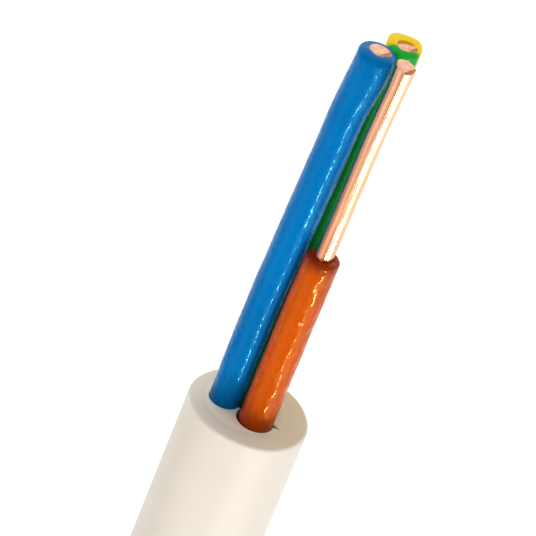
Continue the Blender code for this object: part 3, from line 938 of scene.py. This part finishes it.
def make_wire(name, start, length, reach):
    rings = []
    laid = []
    shaft_rows = math.ceil((length - start) / CORE_STEP)
    squeezed = reach - length_of(f"{name}_insulation") < MM
    shift = WIRE_SHIFT[name] * MM if squeezed else Vector()

    def wire_radius(angle, tip_share):
        wide = WIDEN[name] * math.cos(angle) ** 2 + POINTED[name] * max(0.0, -math.cos(angle)) ** 6
        return CONDUCTOR_RADIUS * (1 + tip_share * (wide - 0.04))

    def add_ring(run, tip_share, scale, height_share):
        ring = []
        places = []
        for angle in ring_angles(WIRE_SIDES):
            radius = wire_radius(angle, tip_share) * scale
            side, up = radius * math.cos(angle), radius * math.sin(angle)
            height = wire_end_height(name, side, up) * height_share
            ring.append(core_centre(name, reach, run) + radius * across(angle) + height * ALONG + shift)
            places.append(Vector((side, up, run + CORE_SEED[name])))
        rings.append(ring)
        laid.append(places)

    last_run = length + WIRE_PROUD[name]
    for step in range(shaft_rows + 1):
        run = start + (last_run - 1.0 * MM - start) * step / shaft_rows
        add_ring(run, eased((run - length + 2.5 * MM) / (2.0 * MM)), 1.0, 0.0)
    for run, share in ((0.7, 0.25), (0.4, 0.6), (0.15, 0.85), (0.03, 1.0)):
        add_ring(last_run - run * MM, 1.0, 1.0, share)
    rim_row = len(rings)
    for step in range(END_STEPS):
        add_ring(last_run, 1.0, END_SHARE * (1 - step / END_STEPS), 1.0)
    return loft(f"{name}_wire", rings, laid, [drawn_copper, sheared_copper],
                lambda row: 0 if row < rim_row else 1, True, True)


def length_of(node):
    return tip_of[node] - face.x


# %% [markdown]
# ## The three cores
# Blue and the striped core keep their insulation to the tip. Brown was stripped further, so its wire
# shows for more than half of its length.

# %% Make the cores and wires
finish_of_core = per_core(blue_pvc, brown_pvc, green_yellow_pvc)
cores = []
wires = []
for name in CORE_ANGLES:
    reach = length_of(f"{name}_conductor")
    covered = length_of(f"{name}_insulation")
    core = make_insulation(name, finish_of_core[name], covered, reach)
    wire = make_wire(name, covered - 2 * MM, reach, reach)
    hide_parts(f"{name}_insulation")
    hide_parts(f"{name}_conductor")
    cores.append(core)
    wires.append(wire)
    print(name, "core:", round(covered / MM, 1), "mm covered,", round(reach / MM, 1), "mm in all")

# %% [markdown]
# ## The free end's pieces
# The free end's tube, the filling compound, the cores and the wires are attached to the root body,
# and the solid model's free end and filler are hidden.

# %% Attach the free end
for piece in [tail_cable, filling_compound] + cores + wires:
    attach(piece, "root")
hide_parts("tail_sheath")
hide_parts("inner_filler")

# %% [markdown]
# ## The cut inner end
# The cable's other end starts at the bore, on top of the innermost layer. It was only cut off, so
# its face shows the filling compound, the three cores and their wires, all nearly flush.

# %% Inner end
DISC_DEPTH = 0.6 * MM


def make_inner_end():
    outward = Vector((math.cos(ring_start), math.sin(ring_start), 0.0))
    facing = Vector((outward.y, -outward.x, 0.0))
    start = ring_axis + lanes[0][0] * outward + lanes[0][2] * UP
    upright = facing.to_track_quat("Z", "Y").to_matrix().to_4x4()
    work = bmesh.new()
    laid = work.verts.layers.float_vector.new("laid")

    def disc(offset, radius, proud, finish_index):
        centre = start + offset + (proud - DISC_DEPTH / 2) * facing
        place = Matrix.Translation(centre) @ upright
        made = bmesh.ops.create_cone(work, cap_ends=True, segments=48, radius1=radius, radius2=radius,
                                     depth=DISC_DEPTH, matrix=place)
        for vert in made["verts"]:
            away = vert.co - centre
            vert[laid] = Vector((away.dot(outward), away.dot(UP), away.dot(facing)))
            for around in vert.link_faces:
                around.material_index = finish_index

    disc(Vector(), FILLER_RADIUS, 0.02 * MM, 0)
    for index, angle in enumerate(CORE_ANGLES.values()):
        offset = BUNDLE_RADIUS * (math.cos(angle) * outward + math.sin(angle) * UP)
        disc(offset, CORE_RADIUS, 0.06 * MM, index + 1)
        disc(offset, CONDUCTOR_RADIUS, 0.12 * MM, len(CORE_ANGLES) + 1)
    return add_piece("inner_end", mesh_from(work, "inner_end"),
                     [chalky_filler, blue_pvc, brown_pvc, green_yellow_pvc, sheared_copper])


inner_end = make_inner_end()
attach(inner_end, "root")
print("inner end:", len(inner_end.data.polygons), "faces")

# %% [markdown]
# ## The cable ties
# A nylon tie is a strap that runs round the bundle and through its own head, where a small pawl
# falls into its teeth. What sticks out is cut off short. The strap is lofted along a rounded
# rectangle. The head is a rounded block with a window cut in it, because the real one is moulded
# round that window, and the short stub shows the teeth. One mesh is made and turned to four places.

# %% Sizes of a tie and small helpers
TIE_ANGLES = [math.radians(45 + 90 * quarter) for quarter in range(4)]
TIE_WIDTH = 4.8 * MM
STRAP_ROUNDING = 0.25 * MM
HEAD_SIZE = Vector((5.6, 7.8, 7.0)) * MM
HEAD_ROUNDING = 0.8 * MM
WINDOW_SIZE = Vector((4.4, 5.4, 3.4)) * MM
WINDOW_LIFT = 0.5 * MM
WINDOW_ROUNDING = 0.3 * MM
PAWL_SIZE = Vector((1.8, 4.2, 1.3)) * MM
PAWL_RECESS = 1.2 * MM
PAWL_ROUNDING = 0.25 * MM
STUB_LENGTH = 2.0 * MM
TOOTH = 0.5 * MM
TOOTH_DEPTH = 0.3 * MM
half_height = TURN_PITCH * (max(LAYER_TURNS) - 1) / 2


def rounded_outline(half_width, half_height, radius, corner_steps):
    """Points of a rounded rectangle, each with the way it faces; half sizes to the corners' centres."""
    points = []
    for quarter in range(4):
        corner_x = half_width if quarter in (0, 3) else -half_width
        corner_y = half_height if quarter in (0, 1) else -half_height
        for step in range(corner_steps + 1):
            angle = math.pi / 2 * (quarter + step / corner_steps)
            points.append((corner_x + radius * math.cos(angle), corner_y + radius * math.sin(angle),
                           angle))
    return points


def block(size, centre, rounding):
    """A box with rounded edges, as a mesh."""
    work = bmesh.new()
    place = Matrix.Translation(centre) @ Matrix.Diagonal((*size, 1.0))
    bmesh.ops.create_cube(work, size=1.0, matrix=place)
    bmesh.ops.bevel(work, geom=work.edges[:], offset=rounding, segments=3, affect="EDGES", profile=0.5)
    return mesh_from(work, "block")


# %% One tie
def strap_mesh(middle):
    """The strap: a flat section with rounded edges along the ring's own outline."""
    half_width = (outer_radius - inner_radius) / 2
    path = rounded_outline(half_width, half_height, SHEATH_RADIUS + SEAT_GAP + TIE_THICKNESS / 2, 8)
    section = rounded_outline(TIE_THICKNESS / 2 - STRAP_ROUNDING, TIE_WIDTH / 2 - STRAP_ROUNDING,
                              STRAP_ROUNDING, 3)
    work = bmesh.new()
    rings = []
    for x, z, angle in path:
        outward = Vector((math.cos(angle), 0.0, math.sin(angle)))
        centre = middle + Vector((x, 0.0, z))
        rings.append([work.verts.new(centre + deep * outward + wide * SIDE)
                      for deep, wide, _ in section])
    for ring, following in zip(rings, rings[1:] + rings[:1]):
        for corner in range(len(section)):
            beside = (corner + 1) % len(section)
            work.faces.new((ring[corner], ring[beside], following[beside], following[corner]))
    bmesh.ops.recalc_face_normals(work, faces=work.faces)
    return mesh_from(work, "strap")


def stub_mesh(outside, height):
    """The cut-off end of the strap, with its teeth below, from inside the head to past its face."""
    start = outside - WINDOW_SIZE.x / 2
    end = outside + STUB_LENGTH
    teeth = round((end - start) / TOOTH)
    top, low = height + TIE_THICKNESS / 2, height - TIE_THICKNESS / 2
    profile = [(end, top), (start, top)]
    for tooth in range(teeth):
        x = start + (end - start) * tooth / teeth
        profile += [(x, low), (x + 0.8 * TOOTH, low + TOOTH_DEPTH)]
    work = bmesh.new()
    half_width = TIE_WIDTH / 2 - 0.1 * MM
    side = work.faces.new([work.verts.new((x, -half_width, z)) for x, z in profile])
    moved = bmesh.ops.extrude_face_region(work, geom=[side])
    far_side = [item for item in moved["geom"] if isinstance(item, bmesh.types.BMVert)]
    bmesh.ops.translate(work, verts=far_side, vec=2 * half_width * SIDE)
    bmesh.ops.recalc_face_normals(work, faces=work.faces)
    return mesh_from(work, "stub")


def make_tie_mesh():
    middle = Vector(((outer_radius + inner_radius) / 2, 0.0, bottom + half_height))
    back = outer_radius + SHEATH_RADIUS + SEAT_GAP
    outside = back + HEAD_SIZE.x
    head_centre = Vector((back + HEAD_SIZE.x / 2, 0.0, middle.z))
    head = add_piece("tie_head", block(HEAD_SIZE, head_centre, HEAD_ROUNDING))
    window_centre = Vector((outside, 0.0, middle.z + WINDOW_LIFT))
    window = add_piece("tie_window", block(WINDOW_SIZE, window_centre, WINDOW_ROUNDING))
    cut = head.modifiers.new("window", "BOOLEAN")
    cut.operation = "DIFFERENCE"
    cut.object = window
    opened = plain_copy(head, "tie_head_opened")
    bpy.data.objects.remove(window, do_unlink=True)
    pawl_centre = Vector((outside - PAWL_RECESS, 0.0, middle.z + TIE_THICKNESS / 2 + PAWL_SIZE.z / 2))
    work = bmesh.new()
    for part in (strap_mesh(middle), opened.data, stub_mesh(outside, middle.z),
                 block(PAWL_SIZE, pawl_centre, PAWL_ROUNDING)):
        work.from_mesh(part)
    bpy.data.objects.remove(opened, do_unlink=True)
    mesh = mesh_from(work, "tie")
    mesh.shade_smooth()
    mesh.set_sharp_from_angle(angle=math.radians(35))
    return mesh


# %% Four ties round the ring
tie_mesh = make_tie_mesh()
for number, angle in enumerate(TIE_ANGLES, start=1):
    mesh = tie_mesh.copy()
    mesh.transform(Matrix.Translation(ring_axis) @ Matrix.Rotation(angle, 4, "Z"))
    tie = add_piece(f"tie_{number}", mesh, [tie_nylon])
    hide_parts(f"cable_tie_{number}")
    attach(tie, "root")
print("each tie:", len(tie_mesh.polygons), "faces")

# %% [markdown]
# ## Floor and light
# The photograph has a white ground and soft light from all round, with one brighter strip on the
# right of the picture. That strip draws the line of highlights down the cores, and it is short, so
# that the lumps break the line up. A soft panel beside it shows in glossy things only, and makes the
# copper's white band as wide as in the photograph. The side light is seen in nothing glossy, as
# behind a polariser, so the cores keep their colour, and the weaker panel behind it is what the
# copper mirrors on its left. The floor shines a little, like a light table, so that it stays white
# without a brighter sky.

# %% Floor, lights and sky
FLOOR_GLOW = 0.8
SKY_STRENGTH = 0.46
STRIPPED_MIDDLE = face + 18 * MM * ALONG
RING_MIDDLE = Vector((0.0, 0.0, 0.0))
SIDE_DIRECTION = (-0.556, 0.62, 0.56)
# Each light's name, direction from its target, distance, size across the cable and along it, power
LIGHTS = (
    ("strip_light", (-0.556, -0.53, 0.64), 0.7, (0.06, 0.14), 2.1, STRIPPED_MIDDLE),
    ("wide_light", (-0.556, -0.681, 0.477), 1.0, (1.15, 0.6), 1.4, STRIPPED_MIDDLE),
    ("band_panel", (-0.556, -0.72, 0.415), 0.9, (0.42, 0.5), 1.7, STRIPPED_MIDDLE),
    ("side_panel", SIDE_DIRECTION, 1.02, (0.9, 0.9), 2.2, STRIPPED_MIDDLE),
    ("side_light", SIDE_DIRECTION, 1.0, (0.9, 0.9), 2.8, STRIPPED_MIDDLE),
    ("front_light", (0.75, 0.1, 0.65), 1.3, (1.0, 1.0), 4.3, Vector((0.05, -0.05, 0.0))),
    ("overhead_light", (0.15, 0.1, 1.0), 1.3, (1.4, 1.4), 2.4, RING_MIDDLE),
)


def make_floor():
    work = bmesh.new()
    bmesh.ops.create_grid(work, x_segments=1, y_segments=1, size=3.0)
    finish, tree, shader = new_finish("pale_floor", 0.9)
    tone = grain(tree, object_place(tree), 0.3)
    paint(tree, shader, blend_colours(tree, tone, "#A0A0A0", "#9C9C9C"))
    shader.inputs["Emission Color"].default_value = (1.0, 1.0, 1.0, 1.0)
    shader.inputs["Emission Strength"].default_value = FLOOR_GLOW
    floor = add_piece("floor", mesh_from(work, "floor"), [finish])


def add_area_light(name, direction, distance, size, power, target):
    """A soft box in this direction from its target, turned so that it lies along the cable."""
    data = bpy.data.lights.new(name, "AREA")
    data.shape = "RECTANGLE"
    data.size, data.size_y = size
    data.energy = power
    light = bpy.data.objects.new(name, data)
    towards = Vector(direction).normalized()
    along = (ALONG - ALONG.dot(towards) * towards).normalized()
    facing = Matrix((along.cross(towards), along, towards)).transposed().to_4x4()
    light.matrix_world = Matrix.Translation(target + distance * towards) @ facing
    bpy.context.scene.collection.objects.link(light)
    return light


make_floor()
lights = {row[0]: add_area_light(*row) for row in LIGHTS}
lights["side_light"].visible_glossy = False
lights["band_panel"].visible_diffuse = False
world = bpy.data.worlds.new("white_studio")
world.use_nodes = True
sky = world.node_tree.nodes["Background"].inputs
sky["Color"].default_value = (1.0, 1.0, 1.0, 1.0)
sky["Strength"].default_value = SKY_STRENGTH
bpy.context.scene.world = world
bpy.context.scene.view_settings.view_transform = "Standard"
print("lights:", ", ".join(lights))
